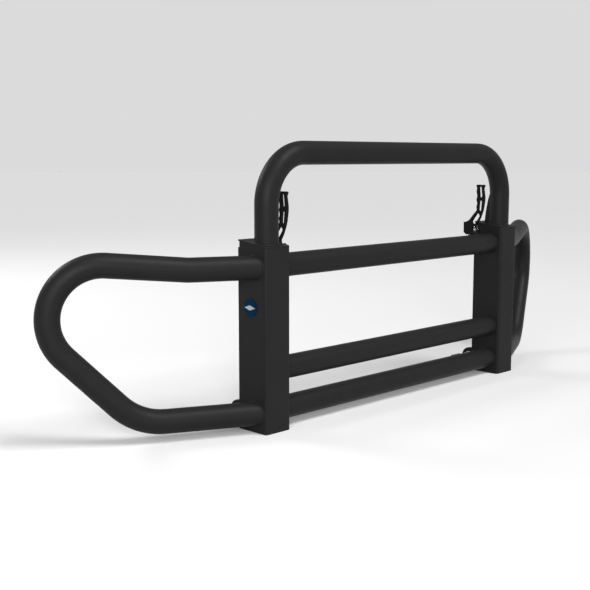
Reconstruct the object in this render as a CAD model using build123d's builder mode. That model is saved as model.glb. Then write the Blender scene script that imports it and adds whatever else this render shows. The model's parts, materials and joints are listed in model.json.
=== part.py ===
from build123d import *
from math import atan2, cos, radians, sin, sqrt, tan
import os

# Front grille guard for a heavy truck. Two folded-steel uprights carry three cross tubes, a hoop
# and two swept wing tubes. The frame folds forward on a hinge bolt at the foot of each upright,
# and a slam latch above the upper cross tube holds it closed on each side.
# +X is to the right when facing the guard from in front, +Y points back to the truck, +Z is up.
# Millimetres. The origin is the bottom centre of the whole guard's box.

# ---- Driving dimensions -----------------------------------------------------------------------
overall_width = 2580.6      # across the two wings, tube outside to tube outside
tube_radius = 38.1          # 3 inch round tube
tube_wall = 4.0

upright_spacing = 1270.0    # centre to centre
upright_width = 106.0
front_reach = 52.0          # upright's front face ahead of the tube plane
channel_depth = 120.0
channel_wall = 5.0
channel_corner = 10.0
rear_plate_thickness = 6.0
rear_plate_height = 581.0
cap_front_height = 587.0    # top of the cap at the front face
cap_rise = 18.0             # how much higher its rear edge is
cap_thickness = 5.0

cross_tube_heights = {
    "upper_cross_tube": 521.6,
    "middle_cross_tube": 191.4,
    "lower_cross_tube": 61.3,
}
hoop_spacing = 1276.0       # between its legs' centres
hoop_forward = 3.0          # how far it stands ahead of the tube plane
hoop_height = 872.5         # centreline of the hoop's top run
hoop_bend_radius = 162.0

wing_sweep = 25.8           # degrees back from the uprights' outer faces
wing_kink_reach = 207.0     # along the swept plane, where the upper run starts to rise
wing_rise = 5.2             # degrees
wing_diagonal = 45.2        # degrees below level, of the run that returns inboard
wing_kink_radius = 160.0
wing_corner_radius = 158.0
wing_return_radius = 200.0

pin_back = 93.0             # hinge bolt axis behind the tube plane
pin_height = 54.0
pin_radius = 9.5
pin_clearance = 0.06        # radial, in the bush
lug_thickness = 10.0
lug_offset = 37.0           # lug centre from the upright's centre
lug_radius = 34.0

latch_offset = 93.0         # lever centre inboard of the upright's centre
latch_pivot_back = 31.0
latch_pivot_height = 577.0
latch_pin_radius = 4.0
latch_pin_clearance = 0.05

# ---- Worked-out places ------------------------------------------------------------------------
upright_x = upright_spacing / 2
inner_face_x = upright_x - upright_width / 2
outer_face_x = upright_x + upright_width / 2
wing_reach = (overall_width / 2 - tube_radius - outer_face_x) / cos(radians(wing_sweep))
rear_reach = wing_reach * sin(radians(wing_sweep)) + tube_radius
tube_y = (front_reach - rear_reach) / 2

front_y = tube_y - front_reach
channel_back_y = front_y + channel_depth
plate_back_y = channel_back_y + rear_plate_thickness
pin_y = tube_y + pin_back
upper_tube_z = cross_tube_heights["upper_cross_tube"]
lower_tube_z = cross_tube_heights["lower_cross_tube"]

cap_slope = atan2(cap_rise, plate_back_y - front_y)
cap_normal = (0, -sin(cap_slope), cos(cap_slope))
cap_top = Plane(origin=(0, front_y, cap_front_height), z_dir=cap_normal)
cap_underside = cap_top.offset(-cap_thickness)
tall = cap_front_height + 100.0

SIDES = (("left", -1), ("right", 1))
bottom_centre = (Align.CENTER, Align.MIN)
os.makedirs("parts", exist_ok=True)


def side_plane(x):
    """A plane across the guard at x, with local x to the rear and local y up."""
    return Plane.YZ.offset(x)


# ---- Cross tubes ------------------------------------------------------------------------------
for name, height in cross_tube_heights.items():
    with BuildPart() as cross_tube:
        with BuildSketch(side_plane(-inner_face_x)):
            with Locations((tube_y, height)):
                Circle(tube_radius)
                Circle(tube_radius - tube_wall, mode=Mode.SUBTRACT)
        extrude(amount=2 * inner_face_x)
    cross_tube.part.label = name
    export_step(cross_tube.part, f"parts/{name}.step")

# ---- Hoop, standing on the two caps -------------------------------------------------------------
hoop_x = hoop_spacing / 2
hoop_y = tube_y - hoop_forward
hoop_foot_z = cap_front_height - tube_radius
hoop_plane = Plane(origin=(0, hoop_y, 0), x_dir=(1, 0, 0), z_dir=(0, -1, 0))
with BuildPart() as hoop_tube:
    with BuildLine(hoop_plane) as hoop_path:
        FilletPolyline(
            (-hoop_x, hoop_foot_z),
            (-hoop_x, hoop_height),
            (hoop_x, hoop_height),
            (hoop_x, hoop_foot_z),
            radius=hoop_bend_radius,
        )
    with BuildSketch(Plane(origin=hoop_path.line @ 0, z_dir=hoop_path.line % 0)):
        Circle(tube_radius)
        Circle(tube_radius - tube_wall, mode=Mode.SUBTRACT)
    sweep(path=hoop_path.line)
    split(bisect_by=cap_top, keep=Keep.TOP)
hoop_tube.part.label = "hoop_tube"
export_step(hoop_tube.part, "parts/hoop_tube.step")

# ---- Wing tubes: one bent tube a side, in an upright plane swept back from the outer face --------
rise = radians(wing_rise)
diagonal = radians(wing_diagonal)
bend_centre_s = wing_reach - wing_corner_radius
bend_centre_z = (
    upper_tube_z + (bend_centre_s - wing_kink_reach) * tan(rise) - wing_corner_radius / cos(rise)
)
upper_normal = Vector(-sin(rise), cos(rise))
diagonal_normal = Vector(sin(diagonal), -cos(diagonal))
to_corner = (upper_normal + diagonal_normal) * (
    wing_corner_radius / (1 + upper_normal.dot(diagonal_normal))
)
corner_s = bend_centre_s + to_corner.X
corner_z = bend_centre_z + to_corner.Y
return_s = corner_s - (corner_z - lower_tube_z) / tan(diagonal)
wing_start_s = -tube_radius

for side, sign in SIDES:
    wing_out = (sign * cos(radians(wing_sweep)), sin(radians(wing_sweep)), 0)
    wing_normal = (sin(radians(wing_sweep)), -sign * cos(radians(wing_sweep)), 0)
    wing_plane = Plane(origin=(sign * outer_face_x, tube_y, 0), x_dir=wing_out, z_dir=wing_normal)
    outer_face = Plane(origin=(sign * outer_face_x, 0, 0), z_dir=(sign, 0, 0))
    with BuildPart() as wing_tube:
        with BuildLine(wing_plane) as wing_path:
            FilletPolyline(
                (wing_start_s, upper_tube_z),
                (wing_kink_reach, upper_tube_z),
                (corner_s, corner_z),
                (return_s, lower_tube_z),
                (wing_start_s, lower_tube_z),
                radius=(wing_kink_radius, wing_corner_radius, wing_return_radius),
            )
        with BuildSketch(Plane(origin=wing_path.line @ 0, z_dir=wing_path.line % 0)):
            Circle(tube_radius)
            Circle(tube_radius - tube_wall, mode=Mode.SUBTRACT)
        sweep(path=wing_path.line)
        split(bisect_by=outer_face, keep=Keep.TOP)
    wing_tube.part.label = f"{side}_wing_tube"
    export_step(wing_tube.part, f"parts/{side}_wing_tube.step")

# ---- Uprights: folded channel, open to the rear and at the foot ----------------------------------
inner_width = upright_width - 2 * channel_wall
for side, sign in SIDES:
    with BuildPart() as upright:
        with BuildSketch(Plane.XY) as channel_section:
            with Locations((sign * upright_x, front_y)):
                Rectangle(upright_width, channel_depth, align=bottom_centre)
            fillet(channel_section.vertices().group_by(Axis.Y)[0], channel_corner)
            with Locations((sign * upright_x, front_y + channel_wall)):
                Rectangle(inner_width, channel_depth, align=bottom_centre, mode=Mode.SUBTRACT)
            fillet(channel_section.vertices().group_by(Axis.Y)[1], channel_corner - channel_wall)
        extrude(amount=tall)
        split(bisect_by=cap_underside, keep=Keep.BOTTOM)
    upright.part.label = f"{side}_upright"
    export_step(upright.part, f"parts/{side}_upright.step")

# ---- Top caps: sloped plates that close the uprights and carry the hoop ---------------------------
for side, sign in SIDES:
    with BuildPart() as top_cap:
        with BuildSketch(Plane.XY) as cap_outline:
            with Locations((sign * upright_x, front_y)):
                Rectangle(upright_width, plate_back_y - front_y, align=bottom_centre)
            fillet(cap_outline.vertices().group_by(Axis.Y)[0], channel_corner)
        extrude(amount=tall)
        split(bisect_by=cap_underside, keep=Keep.TOP)
        split(bisect_by=cap_top, keep=Keep.BOTTOM)
    top_cap.part.label = f"{side}_top_cap"
    export_step(top_cap.part, f"parts/{side}_top_cap.step")

# ---- Rear plates, notched at the foot so that the hinge arm can swing into the upright ------------
notch_clearance = 29.0      # above the hinge bolt's axis
notch_width = 2 * (lug_offset - lug_thickness / 2)
notch_height = pin_height + notch_clearance
notch_corner = 8.0
for side, sign in SIDES:
    with BuildPart() as rear_plate:
        with BuildSketch(Plane.XZ.offset(-plate_back_y)) as plate_outline:
            with Locations((sign * upright_x, 0)):
                Rectangle(upright_width, rear_plate_height, align=bottom_centre)
                Rectangle(notch_width, notch_height, align=bottom_centre, mode=Mode.SUBTRACT)
            fillet(plate_outline.vertices().group_by(Axis.Y)[1], notch_corner)
        extrude(amount=rear_plate_thickness)
    rear_plate.part.label = f"{side}_rear_plate"
    export_step(rear_plate.part, f"parts/{side}_rear_plate.step")

# ---- Pivot lugs: a pair behind each upright, drilled for the hinge bolt ---------------------------
lug_foot_z = 16.0
lug_head_z = 110.0
lug_strip = 6.0
lug_fillet = 8.0
for side, sign in SIDES:
    for place, direction in (("outer", sign), ("inner", -sign)):
        lug_x = sign * upright_x + direction * lug_offset
        with BuildPart() as pivot_lug:
            with BuildSketch(side_plane(lug_x)) as lug_outline:
                with Locations((pin_y, pin_height)):
                    Circle(lug_radius)
                with BuildLine():
                    Polyline(
                        (plate_back_y, lug_foot_z),
                        (plate_back_y + lug_strip, lug_foot_z),
                        (plate_back_y + lug_strip, lug_head_z - lug_strip),
                        (plate_back_y, lug_head_z),
                        close=True,
                    )
                make_face()
                with Locations((plate_back_y, 0)):
                    Rectangle(lug_radius, tall, align=(Align.MAX, Align.MIN), mode=Mode.SUBTRACT)
                strip_edge = lug_outline.vertices().filter_by_position(
                    Axis.X, plate_back_y + lug_strip - 0.1, plate_back_y + lug_strip + 0.1
                )
                fillet(strip_edge.sort_by(Axis.Y)[-2], lug_fillet)
                with Locations((pin_y, pin_height)):
                    Circle(pin_radius + pin_clearance, mode=Mode.SUBTRACT)
            extrude(amount=lug_thickness / 2, both=True)
        pivot_lug.part.label = f"{side}_{place}_pivot_lug"
        export_step(pivot_lug.part, f"parts/{side}_{place}_pivot_lug.step")

# ---- Hinge arms: the truck's side of the hinge, cross-drilled at the rear to bolt to the truck -----
arm_width = 56.0
arm_reach = 100.0
eye_radius = 26.0
arm_top_z = 40.0
arm_foot_z = 2.0
arm_back_y = pin_y + arm_reach
arm_bend = 12.0
bush_radius = 13.0
mount_hole_radius = 8.5
mount_hole_spacing = 45.0
mount_hole_edge = 20.0      # rear hole's centre from the arm's end
mount_hole_z = (arm_top_z + arm_foot_z) / 2
rear_hole_y = arm_back_y - mount_hole_edge
for side, sign in SIDES:
    with BuildPart() as hinge_arm:
        with BuildSketch(side_plane(sign * upright_x)) as arm_outline:
            with BuildLine():
                Polyline(
                    (pin_y, arm_top_z),
                    (arm_back_y, arm_top_z),
                    (arm_back_y, arm_foot_z),
                    (pin_y + eye_radius, arm_foot_z),
                    (pin_y, pin_height - eye_radius),
                    close=True,
                )
            make_face()
            with Locations((pin_y, pin_height)):
                Circle(eye_radius)
            eye_corner = arm_outline.vertices().filter_by_position(
                Axis.Y, arm_top_z - 0.1, arm_top_z + 0.1
            )
            fillet(eye_corner.sort_by(Axis.X)[0], arm_bend)
            with Locations((pin_y, pin_height)):
                Circle(bush_radius, mode=Mode.SUBTRACT)
            with Locations((rear_hole_y, mount_hole_z), (rear_hole_y - mount_hole_spacing, mount_hole_z)):
                Circle(mount_hole_radius, mode=Mode.SUBTRACT)
        extrude(amount=arm_width / 2, both=True)
    hinge_arm.part.label = f"{side}_hinge_arm"
    export_step(hinge_arm.part, f"parts/{side}_hinge_arm.step")

# ---- Hinge bushes, thrust washers, bolts, nuts and washers ---------------------------------------
bore_radius = pin_radius + pin_clearance
thrust_washer_radius = 22.0
side_gap = 0.2              # between a thrust washer and the lug beside it
lug_inner = lug_offset - lug_thickness / 2
lug_outer = lug_offset + lug_thickness / 2
thrust_washer_thickness = lug_inner - arm_width / 2 - side_gap
washer_radius = 18.5
washer_thickness = 3.0
head_across_flats = 30.0
head_height = 12.5
nut_height = 16.0
thread_end = 6.0
hex_corner_radius = head_across_flats / sqrt(3)
for side, sign in SIDES:
    centre_x = sign * upright_x
    with BuildPart() as pivot_bush:
        with BuildSketch(side_plane(centre_x)):
            with Locations((pin_y, pin_height)):
                Circle(bush_radius)
                Circle(bore_radius, mode=Mode.SUBTRACT)
        extrude(amount=arm_width / 2, both=True)
    pivot_bush.part.label = f"{side}_pivot_bush"
    export_step(pivot_bush.part, f"parts/{side}_pivot_bush.step")

    with BuildPart() as thrust_washers:
        for start_x in (arm_width / 2, -arm_width / 2 - thrust_washer_thickness):
            with BuildSketch(side_plane(centre_x + start_x)):
                with Locations((pin_y, pin_height)):
                    Circle(thrust_washer_radius)
                    Circle(bore_radius, mode=Mode.SUBTRACT)
            extrude(amount=thrust_washer_thickness)
    thrust_washers.part.label = f"{side}_thrust_washers"
    export_step(thrust_washers.part, f"parts/{side}_thrust_washers.step")

    with BuildPart() as pivot_washers:
        for start_x in (lug_outer, -lug_outer - washer_thickness):
            with BuildSketch(side_plane(centre_x + start_x)):
                with Locations((pin_y, pin_height)):
                    Circle(washer_radius)
                    Circle(bore_radius, mode=Mode.SUBTRACT)
            extrude(amount=washer_thickness)
    pivot_washers.part.label = f"{side}_pivot_washers"
    export_step(pivot_washers.part, f"parts/{side}_pivot_washers.step")

    head_x = centre_x + sign * (lug_outer + washer_thickness)
    nut_x = centre_x - sign * (lug_outer + washer_thickness)
    shank_length = 2 * (lug_outer + washer_thickness) + nut_height + thread_end
    with BuildPart() as pivot_bolt:
        with BuildSketch(side_plane(head_x)):
            with Locations((pin_y, pin_height)):
                RegularPolygon(hex_corner_radius, 6)
        extrude(amount=sign * head_height)
        with BuildSketch(side_plane(head_x)):
            with Locations((pin_y, pin_height)):
                Circle(pin_radius)
        extrude(amount=-sign * shank_length)
    pivot_bolt.part.label = f"{side}_pivot_bolt"
    export_step(pivot_bolt.part, f"parts/{side}_pivot_bolt.step")

    with BuildPart() as pivot_nut:
        with BuildSketch(side_plane(nut_x)):
            with Locations((pin_y, pin_height)):
                RegularPolygon(hex_corner_radius, 6)
                Circle(pin_radius, mode=Mode.SUBTRACT)
        extrude(amount=-sign * nut_height)
    pivot_nut.part.label = f"{side}_pivot_nut"
    export_step(pivot_nut.part, f"parts/{side}_pivot_nut.step")

# ---- Hoop gussets: a slender fin behind each hoop leg --------------------------------------------
gusset_thickness = 8.0
gusset_offset = 18.0        # inboard of the leg's centre
gusset_foot = 48.0          # rear edge behind the tube plane, at the cap
gusset_waist = 42.5
gusset_waist_z = 645.0
gusset_tip = 27.5
gusset_tip_z = 712.0
weld_gap = 0.05
for side, sign in SIDES:
    with BuildPart() as hoop_gusset:
        with BuildSketch(side_plane(sign * (upright_x - gusset_offset))):
            with BuildLine():
                rear_edge = ThreePointArc(
                    (tube_y + gusset_foot, cap_front_height),
                    (tube_y + gusset_waist, gusset_waist_z),
                    (tube_y + gusset_tip, gusset_tip_z),
                )
                Polyline(rear_edge @ 1, (tube_y, gusset_tip_z), (tube_y, cap_front_height), rear_edge @ 0)
            make_face()
        extrude(amount=gusset_thickness / 2, both=True)
        with BuildSketch(Plane.XY.offset(hoop_foot_z)):
            with Locations((sign * hoop_x, hoop_y)):
                Circle(tube_radius + weld_gap)
        extrude(amount=tall, mode=Mode.SUBTRACT)
        split(bisect_by=cap_top, keep=Keep.TOP)
    hoop_gusset.part.label = f"{side}_hoop_gusset"
    export_step(hoop_gusset.part, f"parts/{side}_hoop_gusset.step")

# ---- Latches: bracket on the upper cross tube, pivot pin, clips, spring and lever -----------------
pivot_y = tube_y + latch_pivot_back
pivot_z = latch_pivot_height
lever_thickness = 10.0
lever_gap = 0.4             # between the lever and the cheek beside it
spring_room = 8.0           # on the inboard side of the lever
cheek_thickness = 5.0
cheek_radius = 9.0
cheek_foot_radius = 4.0
saddle_thickness = 5.0
saddle_from = 14.0          # degrees above level, rear edge of the saddle
saddle_to = 62.0
saddle_arc = saddle_to - saddle_from
saddle_mean = tube_radius + saddle_thickness / 2
outboard_cheek = lever_thickness / 2 + lever_gap
inboard_cheek = lever_thickness / 2 + spring_room
rest_back = 67.0            # the tab that the closed lever's hook block rests on
rest_front = 26.0
rest_thickness = 5.0
rest_gap = 0.5
clip_thickness = 1.2
clip_radius = 7.0
pin_proud = 2.0             # past the clips, at each end

spring_wire = 0.9           # radius of the wire
spring_clearance = 2.2
spring_radius = latch_pin_radius + spring_clearance
spring_pitch = 1.9
spring_turns = 2.25
spring_leg = 16.0
spring_side_gap = 1.0

lever_top_z = 750.0
lever_neck_z = 737.0        # where the rails leave the flared top
lever_top_front = 1.5       # behind the tube plane, as are the places below
lever_top_rear = 38.0
lever_flare = 3.5           # height of the straight edge at each end of the flared top
lever_front = (             # front edge of the lever, from its neck down
    (6.0, lever_neck_z),
    (3.1, 720.0),
    (0.6, 699.0),
    (2.7, 676.0),
    (7.7, 650.0),
    (13.9, 633.0),
    (20.5, 617.0),
    (32.0, 598.0),
)
lever_rear = (              # rear edge, wavy for grip as far down as the second slot
    (33.6, lever_neck_z),
    (35.6, 720.0),
    (33.0, 706.0),
    (35.8, 692.0),
    (32.6, 678.0),
    (35.8, 665.0),
    (34.2, 653.0),
    (40.0, 645.0),
    (56.0, 627.0),
    (73.0, 609.5),
    (83.0, 605.0),
)
lever_slots = (             # back, height, length, width, angle in degrees
    (18.2, 723.0, 44.0, 13.0, 84.3),
    (18.8, 669.5, 43.0, 13.0, 94.5),
    (38.0, 618.0, 48.0, 18.0, 125.8),
    (46.5, 579.5, 20.0, 12.0, 98.0),
)
boss_radius = 10.0
hook_back = 94.0
hook_top_z = 603.0
hook_foot_z = 554.5
hook_foot_inset = 2.0       # how far inside the boss the foot of the hook block ends
hook_chamfer = 11.0
hook_chamfer_height = 8.0
catch_radius = 9.0
catch_back = 73.0
catch_z = 574.0
catch_depth = 6.0           # the catch is a blind groove in the lever's outboard face
rest_top_z = hook_foot_z - rest_gap

for side, sign in SIDES:
    latch_x = sign * (upright_x - latch_offset)
    outboard_face = latch_x + sign * outboard_cheek
    inboard_face = latch_x - sign * inboard_cheek
    with BuildPart() as latch_bracket:
        for face_x, outward in ((outboard_face, sign), (inboard_face, -sign)):
            with BuildSketch(side_plane(face_x)):
                with Locations((pivot_y, pivot_z)):
                    Circle(cheek_radius)
                for angle in (saddle_from, saddle_to):
                    foot_y = tube_y + saddle_mean * cos(radians(angle))
                    foot_z = upper_tube_z + saddle_mean * sin(radians(angle))
                    with Locations((foot_y, foot_z)):
                        Circle(cheek_foot_radius)
                make_hull()
                with Locations((tube_y, upper_tube_z)):
                    Circle(tube_radius, mode=Mode.SUBTRACT)
                with Locations((pivot_y, pivot_z)):
                    Circle(latch_pin_radius, mode=Mode.SUBTRACT)
            extrude(amount=outward * cheek_thickness)
        with BuildSketch(side_plane(inboard_face)):
            with BuildLine():
                tube_axis = (tube_y, upper_tube_z)
                inner = CenterArc(tube_axis, tube_radius, saddle_from, saddle_arc)
                outer = CenterArc(tube_axis, tube_radius + saddle_thickness, saddle_from, saddle_arc)
                Line(inner @ 0, outer @ 0)
                Line(inner @ 1, outer @ 1)
            make_face()
            with BuildLine():
                Polyline(
                    (tube_y + rest_front, rest_top_z),
                    (tube_y + rest_back, rest_top_z),
                    (tube_y + rest_back, rest_top_z - rest_thickness),
                    (tube_y + rest_front, rest_top_z - rest_thickness),
                    close=True,
                )
            make_face()
            with Locations((tube_y, upper_tube_z)):
                Circle(tube_radius, mode=Mode.SUBTRACT)
        extrude(amount=sign * (inboard_cheek + outboard_cheek))
    latch_bracket.part.label = f"{side}_latch_bracket"
    export_step(latch_bracket.part, f"parts/{side}_latch_bracket.step")

    pin_overhang = cheek_thickness + clip_thickness + pin_proud
    with BuildPart() as latch_pin:
        with BuildSketch(side_plane(outboard_face + sign * pin_overhang)):
            with Locations((pivot_y, pivot_z)):
                Circle(latch_pin_radius)
        extrude(amount=-sign * (outboard_cheek + inboard_cheek + 2 * pin_overhang))
    latch_pin.part.label = f"{side}_latch_pivot_pin"
    export_step(latch_pin.part, f"parts/{side}_latch_pivot_pin.step")

    with BuildPart() as pin_clips:
        for face_x, outward in ((outboard_face, sign), (inboard_face, -sign)):
            with BuildSketch(side_plane(face_x + outward * cheek_thickness)):
                with Locations((pivot_y, pivot_z)):
                    Circle(clip_radius)
                    Circle(latch_pin_radius, mode=Mode.SUBTRACT)
            extrude(amount=outward * clip_thickness)
    pin_clips.part.label = f"{side}_latch_pin_clips"
    export_step(pin_clips.part, f"parts/{side}_latch_pin_clips.step")

    coil_x = latch_x - sign * (lever_thickness / 2 + spring_side_gap + spring_wire)
    with BuildPart() as latch_spring:
        with BuildLine():
            coil = Helix(
                spring_pitch,
                spring_pitch * spring_turns,
                spring_radius,
                center=(coil_x, pivot_y, pivot_z),
                direction=(-sign, 0, 0),
            )
        with BuildSketch(Plane(origin=coil @ 0, z_dir=coil % 0)):
            Circle(spring_wire)
        sweep(path=coil, is_frenet=True)
        for end, outward in ((0, -1), (1, 1)):
            with BuildSketch(Plane(origin=coil @ end, z_dir=(coil % end) * outward)):
                Circle(spring_wire)
            extrude(amount=spring_leg)
    latch_spring.part.label = f"{side}_latch_spring"
    export_step(latch_spring.part, f"parts/{side}_latch_spring.step")

    with BuildPart() as latch_lever:
        with BuildSketch(side_plane(latch_x)):
            with BuildLine():
                front_edge = Spline(*((tube_y + back, height) for back, height in lever_front))
                rear_edge = Spline(*((tube_y + back, height) for back, height in lever_rear))
                Polyline(
                    front_edge @ 0,
                    (tube_y + lever_top_front, lever_top_z - lever_flare),
                    (tube_y + lever_top_front, lever_top_z),
                    (tube_y + lever_top_rear, lever_top_z),
                    (tube_y + lever_top_rear, lever_top_z - lever_flare),
                    rear_edge @ 0,
                )
                Polyline(
                    rear_edge @ 1,
                    (tube_y + hook_back, hook_top_z),
                    (tube_y + hook_back, hook_foot_z + hook_chamfer_height),
                    (tube_y + hook_back - hook_chamfer, hook_foot_z),
                    (pivot_y + boss_radius - hook_foot_inset, hook_foot_z),
                    (pivot_y, pivot_z),
                    (pivot_y, pivot_z + boss_radius),
                    front_edge @ 1,
                )
            make_face()
            with Locations((pivot_y, pivot_z)):
                Circle(boss_radius)
            for back, height, length, width, angle in lever_slots:
                with Locations((tube_y + back, height)):
                    SlotOverall(length, width, rotation=angle, mode=Mode.SUBTRACT)
            with Locations((pivot_y, pivot_z)):
                Circle(latch_pin_radius + latch_pin_clearance, mode=Mode.SUBTRACT)
        extrude(amount=lever_thickness / 2, both=True)
        with BuildSketch(side_plane(latch_x + sign * lever_thickness / 2)):
            with Locations((tube_y + catch_back, catch_z)):
                Circle(catch_radius)
                Rectangle(2 * catch_radius, catch_z, align=(Align.CENTER, Align.MAX))
        extrude(amount=-sign * catch_depth, mode=Mode.SUBTRACT)
    latch_lever.part.label = f"{side}_latch_lever"
    export_step(latch_lever.part, f"parts/{side}_latch_lever.step")

# ---- Badge on the left upright's outer face: a plain disc with a raised lozenge ---------------------
badge_back = 18.0
badge_height = 395.0
badge_radius = 29.0
badge_thickness = 2.5
lozenge_length = 48.0
lozenge_height = 16.0
lozenge_thickness = 1.0
with BuildPart() as badge_disc:
    with BuildSketch(side_plane(-outer_face_x)):
        with Locations((tube_y + badge_back, badge_height)):
            Circle(badge_radius)
    extrude(amount=-badge_thickness)
badge_disc.part.label = "badge_disc"
export_step(badge_disc.part, "parts/badge_disc.step")

with BuildPart() as badge_lozenge:
    with BuildSketch(side_plane(-outer_face_x - badge_thickness)):
        with BuildLine():
            Polyline(
                (tube_y + badge_back - lozenge_length / 2, badge_height),
                (tube_y + badge_back, badge_height + lozenge_height / 2),
                (tube_y + badge_back + lozenge_length / 2, badge_height),
                (tube_y + badge_back, badge_height - lozenge_height / 2),
                close=True,
            )
        make_face()
    extrude(amount=-lozenge_thickness)
badge_lozenge.part.label = "badge_lozenge"
export_step(badge_lozenge.part, "parts/badge_lozenge.step")
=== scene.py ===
import json
import math

import bmesh
import bpy
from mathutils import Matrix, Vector, geometry

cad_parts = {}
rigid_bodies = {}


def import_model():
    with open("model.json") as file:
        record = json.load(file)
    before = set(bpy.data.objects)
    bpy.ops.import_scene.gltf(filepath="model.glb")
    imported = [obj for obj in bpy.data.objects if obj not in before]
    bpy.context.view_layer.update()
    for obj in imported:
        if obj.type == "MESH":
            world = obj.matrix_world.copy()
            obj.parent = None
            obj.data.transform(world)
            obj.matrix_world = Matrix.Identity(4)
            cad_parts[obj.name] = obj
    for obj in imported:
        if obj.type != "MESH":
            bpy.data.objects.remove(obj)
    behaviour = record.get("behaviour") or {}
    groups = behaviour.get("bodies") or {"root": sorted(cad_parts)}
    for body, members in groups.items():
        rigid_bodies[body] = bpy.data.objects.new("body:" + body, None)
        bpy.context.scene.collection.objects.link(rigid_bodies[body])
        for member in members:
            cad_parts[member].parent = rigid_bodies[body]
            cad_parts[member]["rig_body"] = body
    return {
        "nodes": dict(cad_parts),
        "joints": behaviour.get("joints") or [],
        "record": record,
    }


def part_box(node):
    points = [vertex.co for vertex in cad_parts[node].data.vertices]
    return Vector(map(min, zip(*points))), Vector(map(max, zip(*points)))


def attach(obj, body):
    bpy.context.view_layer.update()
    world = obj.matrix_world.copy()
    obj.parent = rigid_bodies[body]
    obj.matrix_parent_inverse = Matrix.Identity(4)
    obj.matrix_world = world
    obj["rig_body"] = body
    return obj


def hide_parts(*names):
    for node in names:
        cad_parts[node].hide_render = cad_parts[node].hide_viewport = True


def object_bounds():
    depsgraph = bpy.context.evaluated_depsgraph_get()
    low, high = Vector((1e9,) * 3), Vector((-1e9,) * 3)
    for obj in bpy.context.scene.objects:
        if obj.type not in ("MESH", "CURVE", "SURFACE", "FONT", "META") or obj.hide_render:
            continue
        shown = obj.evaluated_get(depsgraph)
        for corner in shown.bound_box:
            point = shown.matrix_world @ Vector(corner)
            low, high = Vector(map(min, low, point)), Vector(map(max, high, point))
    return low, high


# The looks of a fold-down front grille guard, in metres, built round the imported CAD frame.
# Tubes, springs and bushes are the CAD's own solids. Uprights, caps, plates, lugs, gussets,
# brackets, arms and washers are copies of the CAD's solids with rounded edges, and the levers
# have cast detail as well. Bolts, nuts, pins, clips, the badge and the weld beads are made here.

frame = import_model()
nodes = frame["nodes"]
cad_low, cad_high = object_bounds()

MM = 0.001
TAU = 2 * math.pi
SIDES = {"left": -1, "right": 1}        # each side with the sign of its X
TOUCH = 0.05 * MM                       # places closer than this are the same place
ALONG_X = Vector((1, 0, 0))


# ---- Places read from the frame ------------------------------------------------------------
def middle(node):
    low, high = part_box(node)
    return (low + high) / 2


CAP_RISE = 18.0 * MM        # how much higher the cap's rear edge is than its front edge

tube_low, tube_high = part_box("upper_cross_tube")
tube_radius = (tube_high.z - tube_low.z) / 2
tube_y = middle("upper_cross_tube").y
tube_z = middle("upper_cross_tube").z
inner_face = tube_high.x
outer_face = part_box("right_upright")[1].x
plate_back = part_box("right_rear_plate")[1].y
cap_low, cap_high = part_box("right_top_cap")
cap_slope = CAP_RISE / (cap_high.y - cap_low.y)
cap_facing = Vector((0, -cap_slope, 1)).normalized()
joints = {joint["name"]: joint for joint in frame["joints"]}
hinge_y, hinge_z = joints["guard_tilt"]["pos_m"][1:]
latch_y, latch_z = joints["left_latch_pull"]["pos_m"][1:]


def cap_top(y):
    """Height of the sloped cap's top at y."""
    return cap_high.z - (cap_high.y - y) * cap_slope


# ---- Shader helpers ------------------------------------------------------------------------
def new_material(name, base, roughness, metallic=0.0, specular=0.5):
    """A material with its tree, principled shader and object coordinates, to be built on."""
    material = bpy.data.materials.new(name)
    material.use_nodes = True
    tree = material.node_tree
    shader = tree.nodes["Principled BSDF"]
    shader.inputs["Base Color"].default_value = (*base, 1.0)
    shader.inputs["Roughness"].default_value = roughness
    shader.inputs["Metallic"].default_value = metallic
    shader.inputs["Specular IOR Level"].default_value = specular
    coords = tree.nodes.new("ShaderNodeTexCoord")
    return material, tree, shader, coords.outputs["Object"]


def noise(tree, coords, scale, detail=3.0, roughness=0.55):
    node = tree.nodes.new("ShaderNodeTexNoise")
    node.inputs["Scale"].default_value = scale
    node.inputs["Detail"].default_value = detail
    node.inputs["Roughness"].default_value = roughness
    tree.links.new(coords, node.inputs["Vector"])
    return node.outputs["Fac"]


def remap(tree, value, from_range, to_range):
    node = tree.nodes.new("ShaderNodeMapRange")
    node.inputs["From Min"].default_value, node.inputs["From Max"].default_value = from_range
    node.inputs["To Min"].default_value, node.inputs["To Max"].default_value = to_range
    tree.links.new(value, node.inputs["Value"])
    return node.outputs["Result"]


def mix_colour(tree, factor, first, second):
    node = tree.nodes.new("ShaderNodeMix")
    node.data_type = "RGBA"
    node.inputs["A"].default_value = (*first, 1.0)
    node.inputs["B"].default_value = (*second, 1.0)
    tree.links.new(factor, node.inputs["Factor"])
    return node.outputs["Result"]


def bump(tree, shader, height, strength, distance, under=None):
    """Bumps on a shader's normal, on top of the bumps in under."""
    node = tree.nodes.new("ShaderNodeBump")
    node.inputs["Strength"].default_value = strength
    node.inputs["Distance"].default_value = distance
    tree.links.new(height, node.inputs["Height"])
    if under:
        tree.links.new(under, node.inputs["Normal"])
    tree.links.new(node.outputs["Normal"], shader.inputs["Normal"])
    return node.outputs["Normal"]


def stretched(tree, coords, scale):
    """Coordinates stretched by scale along each axis, for drawn or turned grain."""
    node = tree.nodes.new("ShaderNodeMapping")
    node.inputs["Scale"].default_value = scale
    tree.links.new(coords, node.inputs["Vector"])
    return node.outputs["Vector"]


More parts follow.
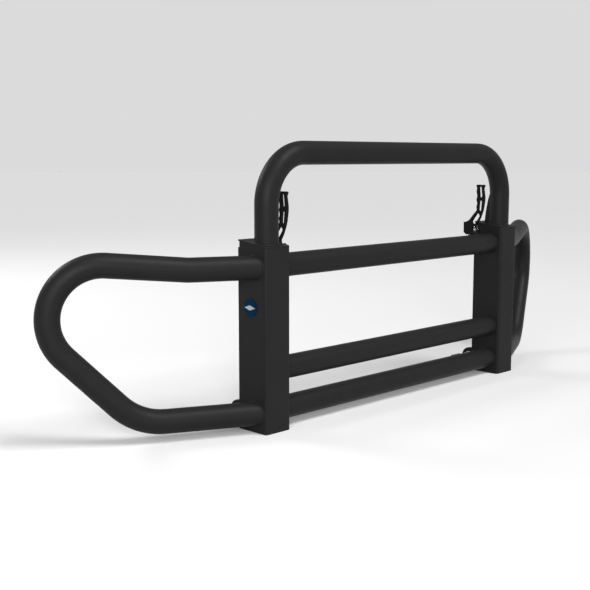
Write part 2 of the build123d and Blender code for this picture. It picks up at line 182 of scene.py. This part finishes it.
# ---- Finishes ------------------------------------------------------------------------------
def powder_coat(name, base, roughness, specular, texture=1.0):
    """Satin powder coat: orange peel, a finer grain on it, and faint clouds in its colour and
    sheen."""
    material, tree, shader, coords = new_material(name, base, roughness, specular=specular)
    clouds = noise(tree, coords, scale=7.0, detail=4.0)
    dark = tuple(channel * 0.88 for channel in base)
    light = tuple(channel * 1.14 for channel in base)
    tree.links.new(mix_colour(tree, clouds, dark, light), shader.inputs["Base Color"])
    smudges = noise(tree, coords, scale=42.0, detail=5.0, roughness=0.65)
    sheen = remap(tree, smudges, (0.3, 0.7), (roughness - 0.04, roughness + 0.05))
    tree.links.new(sheen, shader.inputs["Roughness"])
    peel = noise(tree, coords, scale=420.0, detail=1.0)
    grain = noise(tree, coords, scale=1500.0, detail=2.0)
    peeled = bump(tree, shader, peel, strength=0.22 * texture, distance=0.5 * MM)
    bump(tree, shader, grain, strength=0.16 * texture, distance=0.2 * MM, under=peeled)
    return material


def bare_metal(name, base, tint, roughness):
    """Plated, drawn or turned metal: mottled colour, a haze in its gloss and fine lines."""
    material, tree, shader, coords = new_material(name, base, roughness, metallic=1.0)
    mottle = noise(tree, coords, scale=160.0, detail=4.0, roughness=0.6)
    tree.links.new(mix_colour(tree, mottle, base, tint), shader.inputs["Base Color"])
    haze = noise(tree, coords, scale=600.0, detail=3.0)
    gloss = remap(tree, haze, (0.3, 0.7), (roughness - 0.08, roughness + 0.1))
    tree.links.new(gloss, shader.inputs["Roughness"])
    grain = stretched(tree, coords, (2600.0, 300.0, 300.0))
    lines = noise(tree, grain, scale=1.0, detail=2.0)
    bump(tree, shader, lines, strength=0.12, distance=0.1 * MM)
    return material


def enamel(name, base, deep, specular):
    """Enamel with a slight waviness and faint clouding under the gloss."""
    material, tree, shader, coords = new_material(name, base, roughness=0.3, specular=specular)
    clouds = noise(tree, coords, scale=120.0, detail=3.0)
    tree.links.new(mix_colour(tree, clouds, deep, base), shader.inputs["Base Color"])
    marks = noise(tree, coords, scale=900.0, detail=4.0, roughness=0.7)
    tree.links.new(remap(tree, marks, (0.35, 0.7), (0.24, 0.4)), shader.inputs["Roughness"])
    waves = noise(tree, coords, scale=180.0, detail=1.0)
    bump(tree, shader, waves, strength=0.1, distance=0.2 * MM)
    return material


finishes = {
    "frame_black": powder_coat(
        "frame_powder_coat", (0.0102, 0.0102, 0.0104), roughness=0.46, specular=0.08
    ),
    "latch_black": powder_coat(
        "latch_coating", (0.0052, 0.0052, 0.0054), roughness=0.45, specular=0.06, texture=1.6
    ),
    "arm_black": powder_coat(
        "hinge_arm_paint", (0.0085, 0.0085, 0.0090), roughness=0.52, specular=0.10, texture=1.3
    ),
    "zinc_steel": bare_metal(
        "zinc_plating", (0.50, 0.50, 0.47), (0.60, 0.61, 0.62), roughness=0.34
    ),
    "spring_steel": bare_metal(
        "spring_steel", (0.16, 0.16, 0.17), (0.26, 0.26, 0.27), roughness=0.3
    ),
    "bush_bronze": bare_metal(
        "turned_bronze", (0.38, 0.23, 0.09), (0.48, 0.31, 0.13), roughness=0.36
    ),
    "badge_blue": enamel(
        "blue_enamel", (0.0, 0.0153, 0.042), (0.0, 0.0133, 0.0365), specular=0.03
    ),
    "badge_pale": enamel(
        "pale_enamel", (0.32, 0.33, 0.35), (0.275, 0.285, 0.305), specular=0.08
    ),
}
slot_of = {entry["node"]: entry["material_slot"] for entry in frame["record"]["subparts"]}

for name, node in nodes.items():
    node.data.materials.clear()
    node.data.materials.append(finishes[slot_of[name]])

# ---- Mesh helpers --------------------------------------------------------------------------
SHARP_ANGLE = 35.0          # degrees between faces whose edge gets rounded
CAST_ANGLE = 38.0           # degrees up to which faces are shaded as one surface
MACHINED_ANGLE = 25.0
BEAD_ANGLE = 80.0
SEAM_GAP = 0.002 * MM       # the CAD's vertices closer than this are one vertex
FLAT_ANGLE = 0.5            # degrees up to which the CAD's faces are joined as one flat area


def cad_mesh(node):
    """An editable copy of a CAD node's surface, with its seams closed and flat areas joined."""
    mesh = bmesh.new()
    mesh.from_mesh(nodes[node].data)
    bmesh.ops.remove_doubles(mesh, verts=mesh.verts, dist=SEAM_GAP)
    flat = math.radians(FLAT_ANGLE)
    bmesh.ops.dissolve_limit(mesh, angle_limit=flat, verts=mesh.verts, edges=mesh.edges)
    return mesh


def round_edges(mesh, width):
    """Rounds the edges where faces meet at more than SHARP_ANGLE."""
    limit = math.radians(SHARP_ANGLE)
    sharp = [e for e in mesh.edges if len(e.link_faces) == 2 and e.calc_face_angle() > limit]
    bmesh.ops.bevel(
        mesh, geom=sharp, offset=width, segments=2, profile=0.5, affect="EDGES", clamp_overlap=True
    )


def make_piece(name, mesh, body, slot, stands_for=None, smooth_angle=CAST_ANGLE):
    """Turns a bmesh into a named piece with its finish, riding on a CAD body."""
    bmesh.ops.recalc_face_normals(mesh, faces=mesh.faces)
    data = bpy.data.meshes.new(name)
    mesh.to_mesh(data)
    mesh.free()
    data.shade_smooth()
    data.set_sharp_from_angle(angle=math.radians(smooth_angle))
    data.materials.append(finishes[slot])
    piece = bpy.data.objects.new(name, data)
    bpy.context.scene.collection.objects.link(piece)
    weighted = piece.modifiers.new("weighted_normals", "WEIGHTED_NORMAL")
    weighted.keep_sharp = True
    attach(piece, body)
    if stands_for:
        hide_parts(stands_for)


def stand_in(node, mesh, smooth_angle=CAST_ANGLE):
    """The mesh becomes the piece that is shown in place of a CAD node."""
    body = nodes[node]["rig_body"]
    make_piece(f"{node}_finished", mesh, body, slot_of[node], node, smooth_angle)


def join_rings(mesh, rings, ring_shaped=False):
    """Joins rings of vertices with quads. Its ends are closed, or joined if it is ring shaped."""
    count = len(rings[0])
    pairs = list(zip(rings, rings[1:]))
    if ring_shaped:
        pairs.append((rings[-1], rings[0]))
    for first, second in pairs:
        for i in range(count):
            j = (i + 1) % count
            mesh.faces.new((first[i], first[j], second[j], second[i]))
    if not ring_shaped:
        mesh.faces.new(rings[0][::-1])
        mesh.faces.new(rings[-1])


def turned(start, way, rows, shape=None, hollow=False, steps=72):
    """A solid turned about the X direction from start. Rows are (distance, radius), and
    shape(distance, angle, radius) may change the radius round the turn."""
    mesh = bmesh.new()
    rings = []
    for distance, radius in rows:
        ring = []
        for step in range(steps):
            angle = TAU * step / steps
            reach = shape(distance, angle, radius) if shape else radius
            across = Vector((0, math.cos(angle), math.sin(angle))) * reach
            ring.append(mesh.verts.new(start + across + Vector((way * distance, 0, 0))))
        rings.append(ring)
    join_rings(mesh, rings, hollow)
    return mesh


def add_slab(mesh, outline, low_x, high_x):
    """Adds a plate whose (y, z) outline runs from low_x to high_x."""
    rings = [[mesh.verts.new((x, y, z)) for y, z in outline] for x in (low_x, high_x)]
    join_rings(mesh, rings)


# ---- Plates, lugs, brackets, arms and washers: the CAD's solids with rounded edges ---------
EDGE_WIDTHS = {
    "upright": 0.9 * MM,
    "top_cap": 1.2 * MM,
    "rear_plate": 1.2 * MM,
    "outer_pivot_lug": 1.2 * MM,
    "inner_pivot_lug": 1.2 * MM,
    "hoop_gusset": 1.0 * MM,
    "latch_bracket": 0.6 * MM,
    "hinge_arm": 2.0 * MM,
    "thrust_washers": 0.5 * MM,
    "pivot_washers": 0.5 * MM,
}

for side in SIDES:
    for part, width in EDGE_WIDTHS.items():
        mesh = cad_mesh(f"{side}_{part}")
        round_edges(mesh, width)
        stand_in(f"{side}_{part}", mesh)

# ---- Latch levers: cast, with a raised rim round the web and each slot, and a ridged grip --
RIM_WIDTH = 1.3 * MM
RIM_DRAFT = 0.4 * MM
WEB_DEPTH = 1.5 * MM
LEVER_EDGE = 0.5 * MM

GRIP_FRONT = 1.5 * MM       # the front and rear of the lever's top, behind the tube's middle
GRIP_REAR = 38.0 * MM
GRIP_MARGIN = 1.0 * MM      # plain lever at each end of the ridges, and the depth of their root
GRIP_INSET = 0.8 * MM       # plain lever beside the ridges
GRIP_TEETH = 7
GRIP_RISE = 1.6 * MM
GRIP_EDGE = 0.3 * MM
STEPS_A_TOOTH = 4


def finish_lever(side):
    """The lever with a sunk web on each face, which leaves the rims standing."""
    node = f"{side}_latch_lever"
    low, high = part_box(node)
    mesh = cad_mesh(node)
    for face_x in (low.x, high.x):
        web = [f for f in mesh.faces if abs(f.calc_center_median().x - face_x) < TOUCH]
        bmesh.ops.inset_region(mesh, faces=web, thickness=RIM_WIDTH, use_even_offset=True)
        bmesh.ops.inset_region(
            mesh, faces=web, thickness=RIM_DRAFT, depth=-WEB_DEPTH, use_even_offset=True
        )
    round_edges(mesh, LEVER_EDGE)
    stand_in(node, mesh)


def make_grip_ridges(side):
    """A row of rounded ridges along the lever's top."""
    low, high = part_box(f"{side}_latch_lever")
    front = tube_y + GRIP_FRONT + GRIP_MARGIN
    rear = tube_y + GRIP_REAR - GRIP_MARGIN
    steps = GRIP_TEETH * STEPS_A_TOOTH
    outline = [(front, high.z - GRIP_MARGIN)]
    for step in range(steps + 1):
        wave = 0.5 - 0.5 * math.cos(TAU * step / STEPS_A_TOOTH)
        outline.append((front + (rear - front) * step / steps, high.z + GRIP_RISE * wave))
    outline.append((rear, high.z - GRIP_MARGIN))
    mesh = bmesh.new()
    add_slab(mesh, outline, low.x + GRIP_INSET, high.x - GRIP_INSET)
    round_edges(mesh, GRIP_EDGE)
    make_piece(f"{side}_lever_grip_ridges", mesh, f"{side}_lever", "latch_black")


for side in SIDES:
    finish_lever(side)
    make_grip_ridges(side)

# ---- Hinge bolts and nuts: chamfered hexagons, a dished head and a cut thread --------------
BOLT_RADIUS = 9.5 * MM
HEAD_HEIGHT = 12.5 * MM
DISH_DEPTH = 0.7 * MM
DISH_RADIUS = 8.0 * MM
DISH_RIM = 9.6 * MM         # radius at which the dish meets the head's flat end
THREAD_PITCH = 2.0 * MM
THREAD_DEPTH = 1.1 * MM
THREAD_LENGTH = 34.0 * MM
THREAD_STEPS = 8            # rows of vertices in one pitch
TIP_LENGTH = 1.5 * MM
TIP_DEPTH = 1.6 * MM
BORE_CHAMFER = 0.9 * MM
BORE_OVERLAP = 0.2 * MM     # how far the nut reaches into the bolt's thread

CORNER_RUB = 0.25 * MM      # what is rubbed off a hexagon's corners
CHAMFER_START = 0.95        # radius of the flat end, as a share of the distance to a flat
CHAMFER_SLOPE = 1.732
CHAMFER_STEP = 0.45 * MM
CHAMFER_ROWS = 6

bolt_low, bolt_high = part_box("right_pivot_bolt")
bolt_length = bolt_high.x - bolt_low.x
hex_corner = (bolt_high.y - bolt_low.y) / 2
hex_flat = (bolt_high.z - bolt_low.z) / 2
thread_start = bolt_length - THREAD_LENGTH


def hexagon_shape(distance, angle, radius):
    """Cuts a radius back to the side of the hexagon."""
    side_reach = hex_flat / math.cos(angle % (TAU / 6) - TAU / 12)
    return min(radius, side_reach, hex_corner - CORNER_RUB)


def bolt_shape(distance, angle, radius):
    """Cuts the head to a hexagon and the far end to a thread."""
    if distance <= HEAD_HEIGHT:
        return hexagon_shape(distance, angle, radius)
    if distance > thread_start:
        along = (distance / THREAD_PITCH + angle / TAU) % 1.0
        return min(radius, BOLT_RADIUS - THREAD_DEPTH * abs(2 * along - 1))
    return radius


def chamfered(height, both=False):
    """Rows of a hexagon's side with its corners chamfered at the start, or at both ends."""
    cone = []
    for row in range(CHAMFER_ROWS):
        distance = row * CHAMFER_STEP
        cone.append((distance, CHAMFER_START * hex_flat + CHAMFER_SLOPE * distance))
    if both:
        return cone + [(height - distance, radius) for distance, radius in reversed(cone)]
    return cone + [(height, hex_corner)]


def make_bolt(side, sign):
    low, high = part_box(f"{side}_pivot_bolt")
    head_end = high.x if sign > 0 else low.x
    rows = [(DISH_DEPTH, DISH_RADIUS), (0.0, DISH_RIM), *chamfered(HEAD_HEIGHT)]
    rows += [(HEAD_HEIGHT + 0.01 * MM, BOLT_RADIUS), (thread_start, BOLT_RADIUS)]
    for step in range(1, round((THREAD_LENGTH - TIP_LENGTH) / THREAD_PITCH * THREAD_STEPS)):
        rows.append((thread_start + step * THREAD_PITCH / THREAD_STEPS, BOLT_RADIUS))
    rows += [(bolt_length - TIP_LENGTH, BOLT_RADIUS), (bolt_length, BOLT_RADIUS - TIP_DEPTH)]
    mesh = turned(Vector((head_end, hinge_y, hinge_z)), -sign, rows, bolt_shape)
    stand_in(f"{side}_pivot_bolt", mesh, MACHINED_ANGLE)


def make_nut(side):
    low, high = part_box(f"{side}_pivot_nut")
    height = high.x - low.x
    bore = BOLT_RADIUS - BORE_OVERLAP
    rows = [(BORE_CHAMFER, bore), (0.0, bore + BORE_CHAMFER), *chamfered(height, both=True)]
    rows += [(height, bore + BORE_CHAMFER), (height - BORE_CHAMFER, bore)]
    mesh = turned(Vector((low.x, hinge_y, hinge_z)), 1, rows, hexagon_shape, hollow=True)
    stand_in(f"{side}_pivot_nut", mesh, MACHINED_ANGLE)


for side, sign in SIDES.items():
    make_bolt(side, sign)
    make_nut(side)

# ---- Latch pins with chamfered ends and clip grooves, and the clips in them ----------------
PIN_CHAMFER_LENGTH = 0.7 * MM
PIN_CHAMFER_DEPTH = 0.8 * MM
GROOVE_START = 1.9 * MM
GROOVE_END = 3.3 * MM
GROOVE_WALL = 0.1 * MM
GROOVE_DEPTH = 0.5 * MM

CLIP_THICKNESS = 1.2 * MM
CLIP_START = -60            # degrees from the rear, where the clip's open mouth ends
CLIP_STEP = 5
CLIP_STEPS = 60
CLIP_LOBES = 3
LOBE_SHARE = 0.55           # a lobe is where the wave round the clip is above this
LOBE_BITE = 0.4 * MM        # how far the lobes reach into the pin's groove
LOBE_GAP = 1.3 * MM         # how far the clip stands off the pin between its lobes
CLIP_EDGE = 0.15 * MM


def pin_radius(side):
    low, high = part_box(f"{side}_latch_pivot_pin")
    return (high.z - low.z) / 2


def make_pin(side):
    low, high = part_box(f"{side}_latch_pivot_pin")
    length = high.x - low.x
    radius = pin_radius(side)
    end = [
        (0.0, radius - PIN_CHAMFER_DEPTH),
        (PIN_CHAMFER_LENGTH, radius),
        (GROOVE_START, radius),
        (GROOVE_START + GROOVE_WALL, radius - GROOVE_DEPTH),
        (GROOVE_END - GROOVE_WALL, radius - GROOVE_DEPTH),
        (GROOVE_END, radius),
    ]
    rows = end + [(length - distance, reach) for distance, reach in reversed(end)]
    mesh = turned(Vector((low.x, latch_y, latch_z)), 1, rows, steps=48)
    stand_in(f"{side}_latch_pivot_pin", mesh, MACHINED_ANGLE)


def make_clips(side):
    """An open clip in each groove, which grips the pin with its lobes."""
    low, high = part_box(f"{side}_latch_pin_clips")
    outer = (high.z - low.z) / 2
    lobe_reach = pin_radius(side) - LOBE_BITE
    gap_reach = pin_radius(side) + LOBE_GAP
    angles = [math.radians(CLIP_START + CLIP_STEP * step) for step in range(CLIP_STEPS + 1)]
    outline = [(outer, angle) for angle in angles]
    for angle in reversed(angles):
        lobe = math.cos(CLIP_LOBES * (angle - TAU / 4)) > LOBE_SHARE
        outline.append((lobe_reach if lobe else gap_reach, angle))
    places = [(latch_y + r * math.cos(a), latch_z - r * math.sin(a)) for r, a in outline]
    mesh = bmesh.new()
    add_slab(mesh, places, low.x, low.x + CLIP_THICKNESS)
    add_slab(mesh, places, high.x - CLIP_THICKNESS, high.x)
    round_edges(mesh, CLIP_EDGE)
    stand_in(f"{side}_latch_pin_clips", mesh)


for side in SIDES:
    make_pin(side)
    make_clips(side)

# ---- Badge: a rimmed, slightly domed disc with a raised lozenge ----------------------------
BADGE_CORNER = ((0.6 * MM, 0.0), (0.2 * MM, 0.2 * MM), (0.0, 0.7 * MM))     # (down, inwards)
BADGE_RIM = 2.2 * MM
BADGE_SLOPE = 0.5 * MM      # width of the slope from the rim down to the dome
BADGE_SINK = 0.7 * MM       # how far the dome's edge lies below the rim
DOME_RISE = 0.6 * MM
DOME_STEPS = 8
LOZENGE_LIFT = 0.3 * MM
LOZENGE_EDGE = 0.35 * MM


def make_badge_disc():
    low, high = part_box("badge_disc")
    centre = middle("badge_disc")
    radius = (high.z - low.z) / 2
    depth = high.x - low.x
    rows = [(0.0, radius)]
    rows += [(depth - down, radius - inwards) for down, inwards in BADGE_CORNER]
    rows.append((depth, radius - BADGE_RIM + BADGE_SLOPE))
    rows.append((depth - BADGE_SINK, radius - BADGE_RIM))
    for step in range(1, DOME_STEPS + 1):
        inward = (radius - BADGE_RIM) * (1 - step / (DOME_STEPS + 0.5))
        rows.append((depth - BADGE_SINK + DOME_RISE * math.sqrt(step / DOME_STEPS), inward))
    mesh = turned(Vector((high.x, centre.y, centre.z)), -1, rows, steps=96)
    stand_in("badge_disc", mesh, MACHINED_ANGLE)


def make_badge_lozenge():
    low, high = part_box("badge_lozenge")
    centre = middle("badge_lozenge")
    half_length, half_height = (high.y - low.y) / 2, (high.z - low.z) / 2
    corners = ((1, 0), (0, 1), (-1, 0), (0, -1))
    outline = [(centre.y + u * half_length, centre.z + v * half_height) for u, v in corners]
    mesh = bmesh.new()
    add_slab(mesh, outline, low.x, high.x + LOZENGE_LIFT)
    round_edges(mesh, LOZENGE_EDGE)
    stand_in("badge_lozenge", mesh)


make_badge_disc()
make_badge_lozenge()

# ---- Weld beads ----------------------------------------------------------------------------
RIPPLE = 3.2 * MM
RIPPLE_STEPS = 4
RIPPLE_DEPTH = 0.09         # share of the bead's radius
DRIFT = 0.05                # share by which the radius wanders along the bead
DRIFT_WAVES = (0.37, 0.11)  # radians a step, of the two waves that it follows
DRIFT_START = 1.3
END_SHARE = 0.45            # share of the radius at the ends of an open bead
END_GROWTH = 0.2            # what that share gains with each step away from the end
BEAD_SIDES = 10

TUBE_BEAD = 3.2 * MM
LUG_BEAD = 3.0 * MM
GUSSET_BEAD = 2.0 * MM
BRACKET_BEAD = 1.8 * MM
LUG_ENDS = (2 * MM, 1 * MM)         # bare lengths below and above the bead
GUSSET_ENDS = (1 * MM, 3 * MM)      # bare lengths behind and above the bead
BRACKET_SEAM = range(12, 66, 3)     # degrees up from the tube's rear


def spaced(points, gap, closed):
    """Points about a gap apart along a path, evenly."""
    corners = [Vector(p) for p in points]
    if closed:
        corners.append(corners[0])
    lengths = [(b - a).length for a, b in zip(corners, corners[1:])]
    total = sum(lengths)
    count = max(RIPPLE_STEPS, round(total / gap / RIPPLE_STEPS) * RIPPLE_STEPS)
    places, travelled, leg = [], 0.0, 0
    for step in range(count if closed else count + 1):
        wanted = min(total * step / count, total - 1e-9)
        while travelled + lengths[leg] < wanted:
            travelled += lengths[leg]
            leg += 1
        places.append(corners[leg].lerp(corners[leg + 1], (wanted - travelled) / lengths[leg]))
    return places


def bead_radius(radius, i, from_end, closed):
    """Radius at the bead's step i: rippled, wandering a little, and smaller at an open end."""
    ripple = 1 - RIPPLE_DEPTH + RIPPLE_DEPTH * abs(math.cos(math.pi * i / RIPPLE_STEPS))
    quick, slow = DRIFT_WAVES
    wander = 1 + DRIFT * math.sin(quick * i + DRIFT_START) * math.sin(slow * i)
    ending = 1 if closed else min(1, END_SHARE + END_GROWTH * from_end)
    return radius * ripple * wander * ending


def weld_bead(name, points, radius, facing, closed=False):
    """A rippled bead along a path, half sunk in the steel. Facing is a direction across it."""
    path = spaced(points, RIPPLE / RIPPLE_STEPS, closed)
    last = len(path) - 1
    rings = []
    mesh = bmesh.new()
    for i, place in enumerate(path):
        before = path[i - 1] if closed or i > 0 else place
        after = path[(i + 1) % len(path)] if closed or i < last else place
        along = (after - before).normalized()
        across = along.cross(facing).normalized()
        up = across.cross(along)
        reach = bead_radius(radius, i, min(i, last - i), closed)
        ring = []
        for step in range(BEAD_SIDES):
            angle = TAU * step / BEAD_SIDES
            outward = across * math.cos(angle) + up * math.sin(angle)
            ring.append(mesh.verts.new(place + outward * reach))
        rings.append(ring)
    join_rings(mesh, rings, closed)
    make_piece(name, mesh, "guard_frame", "frame_black", smooth_angle=BEAD_ANGLE)


def end_loop(node, at_end, facing):
    """The outer edge of a tube's end, in order round it. At_end picks the end's vertices."""
    places = [v.co.copy() for v in nodes[node].data.vertices if at_end(v.co)]
    across = facing.orthogonal().normalized()
    up = facing.cross(across).normalized()
    flat = [Vector((place.dot(across), place.dot(up))) for place in places]
    return [places[i] for i in geometry.convex_hull_2d(flat)]


def hoop_foot(sign):
    """The outer edge of the hoop's foot on a side's cap."""
    return end_loop(
        "hoop_tube", lambda v: abs(v.z - cap_top(v.y)) < TOUCH and v.x * sign > 0, cap_facing
    )


def weld_cross_tubes(side, sign):
    end_x = sign * inner_face
    for tube in ("upper", "middle", "lower"):
        loop = end_loop(f"{tube}_cross_tube", lambda v: abs(v.x - end_x) < TOUCH, ALONG_X)
        weld_bead(f"{side}_{tube}_tube_weld", loop, TUBE_BEAD, ALONG_X, closed=True)


def weld_wing(side, sign):
    wing = f"{side}_wing_tube"
    split_z = middle(wing).z
    end_x = sign * outer_face
    upper = end_loop(wing, lambda v: abs(v.x - end_x) < TOUCH and v.z > split_z, ALONG_X)
    lower = end_loop(wing, lambda v: abs(v.x - end_x) < TOUCH and v.z < split_z, ALONG_X)
    weld_bead(f"{side}_wing_upper_weld", upper, TUBE_BEAD, ALONG_X, closed=True)
    weld_bead(f"{side}_wing_lower_weld", lower, TUBE_BEAD, ALONG_X, closed=True)


def weld_gusset(side, sign):
    """A bead on each face of the fin, along the cap and up the hoop's leg."""
    foot = hoop_foot(sign)
    leg_x = sign * (max(abs(p.x) for p in foot) - tube_radius)
    leg_y = sum(p.y for p in foot) / len(foot)
    low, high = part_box(f"{side}_hoop_gusset")
    rear_y = high.y - GUSSET_ENDS[0]
    top_z = high.z - GUSSET_ENDS[1]
    for place, face_x in (("a", low.x), ("b", high.x)):
        leg_back = leg_y + math.sqrt(tube_radius**2 - (face_x - leg_x) ** 2)
        seam = [
            (face_x, rear_y, cap_top(rear_y)),
            (face_x, leg_back, cap_top(leg_back)),
            (face_x, leg_back, top_z),
        ]
        weld_bead(f"{side}_gusset_weld_{place}", seam, GUSSET_BEAD, ALONG_X)


def weld_lugs(side, sign):
    """A bead down the outer face of each lug, where it meets the rear plate."""
    for place in ("outer", "inner"):
        low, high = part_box(f"{side}_{place}_pivot_lug")
        face_x = high.x if (place == "outer") == (sign > 0) else low.x
        foot_z = low.z + LUG_ENDS[0]
        top_z = high.z - LUG_ENDS[1]
        seam = [(face_x, plate_back, foot_z), (face_x, plate_back, top_z)]
        weld_bead(f"{side}_{place}_lug_weld", seam, LUG_BEAD, ALONG_X)


def weld_bracket(side):
    """A bead on each face of the latch bracket, round the back of the cross tube."""
    low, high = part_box(f"{side}_latch_bracket")
    for place, face_x in (("a", low.x), ("b", high.x)):
        seam = []
        for degrees in BRACKET_SEAM:
            angle = math.radians(degrees)
            y = tube_y + tube_radius * math.cos(angle)
            seam.append((face_x, y, tube_z + tube_radius * math.sin(angle)))
        weld_bead(f"{side}_bracket_weld_{place}", seam, BRACKET_BEAD, ALONG_X)


for side, sign in SIDES.items():
    weld_cross_tubes(side, sign)
    weld_wing(side, sign)
    weld_bead(f"{side}_hoop_foot_weld", hoop_foot(sign), TUBE_BEAD, cap_facing, closed=True)
    weld_gusset(side, sign)
    weld_lugs(side, sign)
    weld_bracket(side)

# ---- Floor, light and camera ---------------------------------------------------------------
FLOOR_SIZE = 200.0
FLOOR_TINT = (0.60, 0.60, 0.60)
GLOW_HEIGHTS = (0.14, 0.40)         # how far up the sky's glow starts to fade and is faded
GLOW_STRENGTHS = (0.71, 0.35)
GUARD_MIDDLE = (0.0, 0.0, 0.4)
CAMERA_PLACE = (-2.791, tube_y - 2.269, 0.8593)
CAMERA_HEADING = 45.15
CAMERA_PITCH = 7.78
CAMERA_LENS = 61.67


def lay_floor():
    bpy.ops.mesh.primitive_plane_add(size=FLOOR_SIZE, location=(0, 0, cad_low.z))
    floor = bpy.context.object
    floor.name = "studio_floor"
    matt_paint = new_material("floor", FLOOR_TINT, roughness=0.95, specular=0.0)[0]
    floor.data.materials.append(matt_paint)


def light_sky():
    """White light from all round, which fades with height."""
    world = bpy.data.worlds.new("studio")
    bpy.context.scene.world = world
    world.use_nodes = True
    sky = world.node_tree
    backdrop = sky.nodes["Background"]
    backdrop.inputs["Color"].default_value = (1.0, 1.0, 1.0, 1.0)
    coords = sky.nodes.new("ShaderNodeTexCoord")
    height = sky.nodes.new("ShaderNodeSeparateXYZ")
    sky.links.new(coords.outputs["Generated"], height.inputs["Vector"])
    glow = remap(sky, height.outputs["Z"], GLOW_HEIGHTS, GLOW_STRENGTHS)
    sky.links.new(glow, backdrop.inputs["Strength"])


def add_lamp(name, light, place, aim):
    lamp = bpy.data.objects.new(name, light)
    bpy.context.scene.collection.objects.link(lamp)
    lamp.location = place
    lamp.rotation_euler = aim.to_track_quat("-Z", "Y").to_euler()


def softbox(name, place, size, power):
    """A square area light at place, facing the guard."""
    light = bpy.data.lights.new(name, "AREA")
    light.shape = "SQUARE"
    light.size = size
    light.energy = power
    add_lamp(name, light, place, Vector(GUARD_MIDDLE) - Vector(place))


def skylight(name, towards, angle, strength):
    """A broad, soft light from far away, shining from the direction towards."""
    light = bpy.data.lights.new(name, "SUN")
    light.angle = math.radians(angle)
    light.energy = strength
    add_lamp(name, light, (0.0, 0.0, 0.0), -Vector(towards))


def place_camera():
    data = bpy.data.cameras.new("camera")
    data.lens = CAMERA_LENS
    data.clip_end = 60.0
    camera = bpy.data.objects.new("camera", data)
    bpy.context.scene.collection.objects.link(camera)
    camera.location = CAMERA_PLACE
    tilt = math.pi / 2 - math.radians(CAMERA_PITCH)
    camera.rotation_euler = (tilt, 0.0, -math.radians(CAMERA_HEADING))
    bpy.context.scene.camera = camera


bpy.context.scene.view_settings.view_transform = "Standard"
lay_floor()
light_sky()
skylight("key", (0.18, -0.52, 0.83), angle=30.0, strength=3.1)
softbox("side_fill", (-4.6, -2.4, 2.6), size=2.0, power=110)
softbox("front_fill", (-3.9, -4.0, 1.9), size=1.0, power=135)
softbox("back_fill", (-1.6, 5.0, 3.6), size=2.0, power=130)
place_camera()
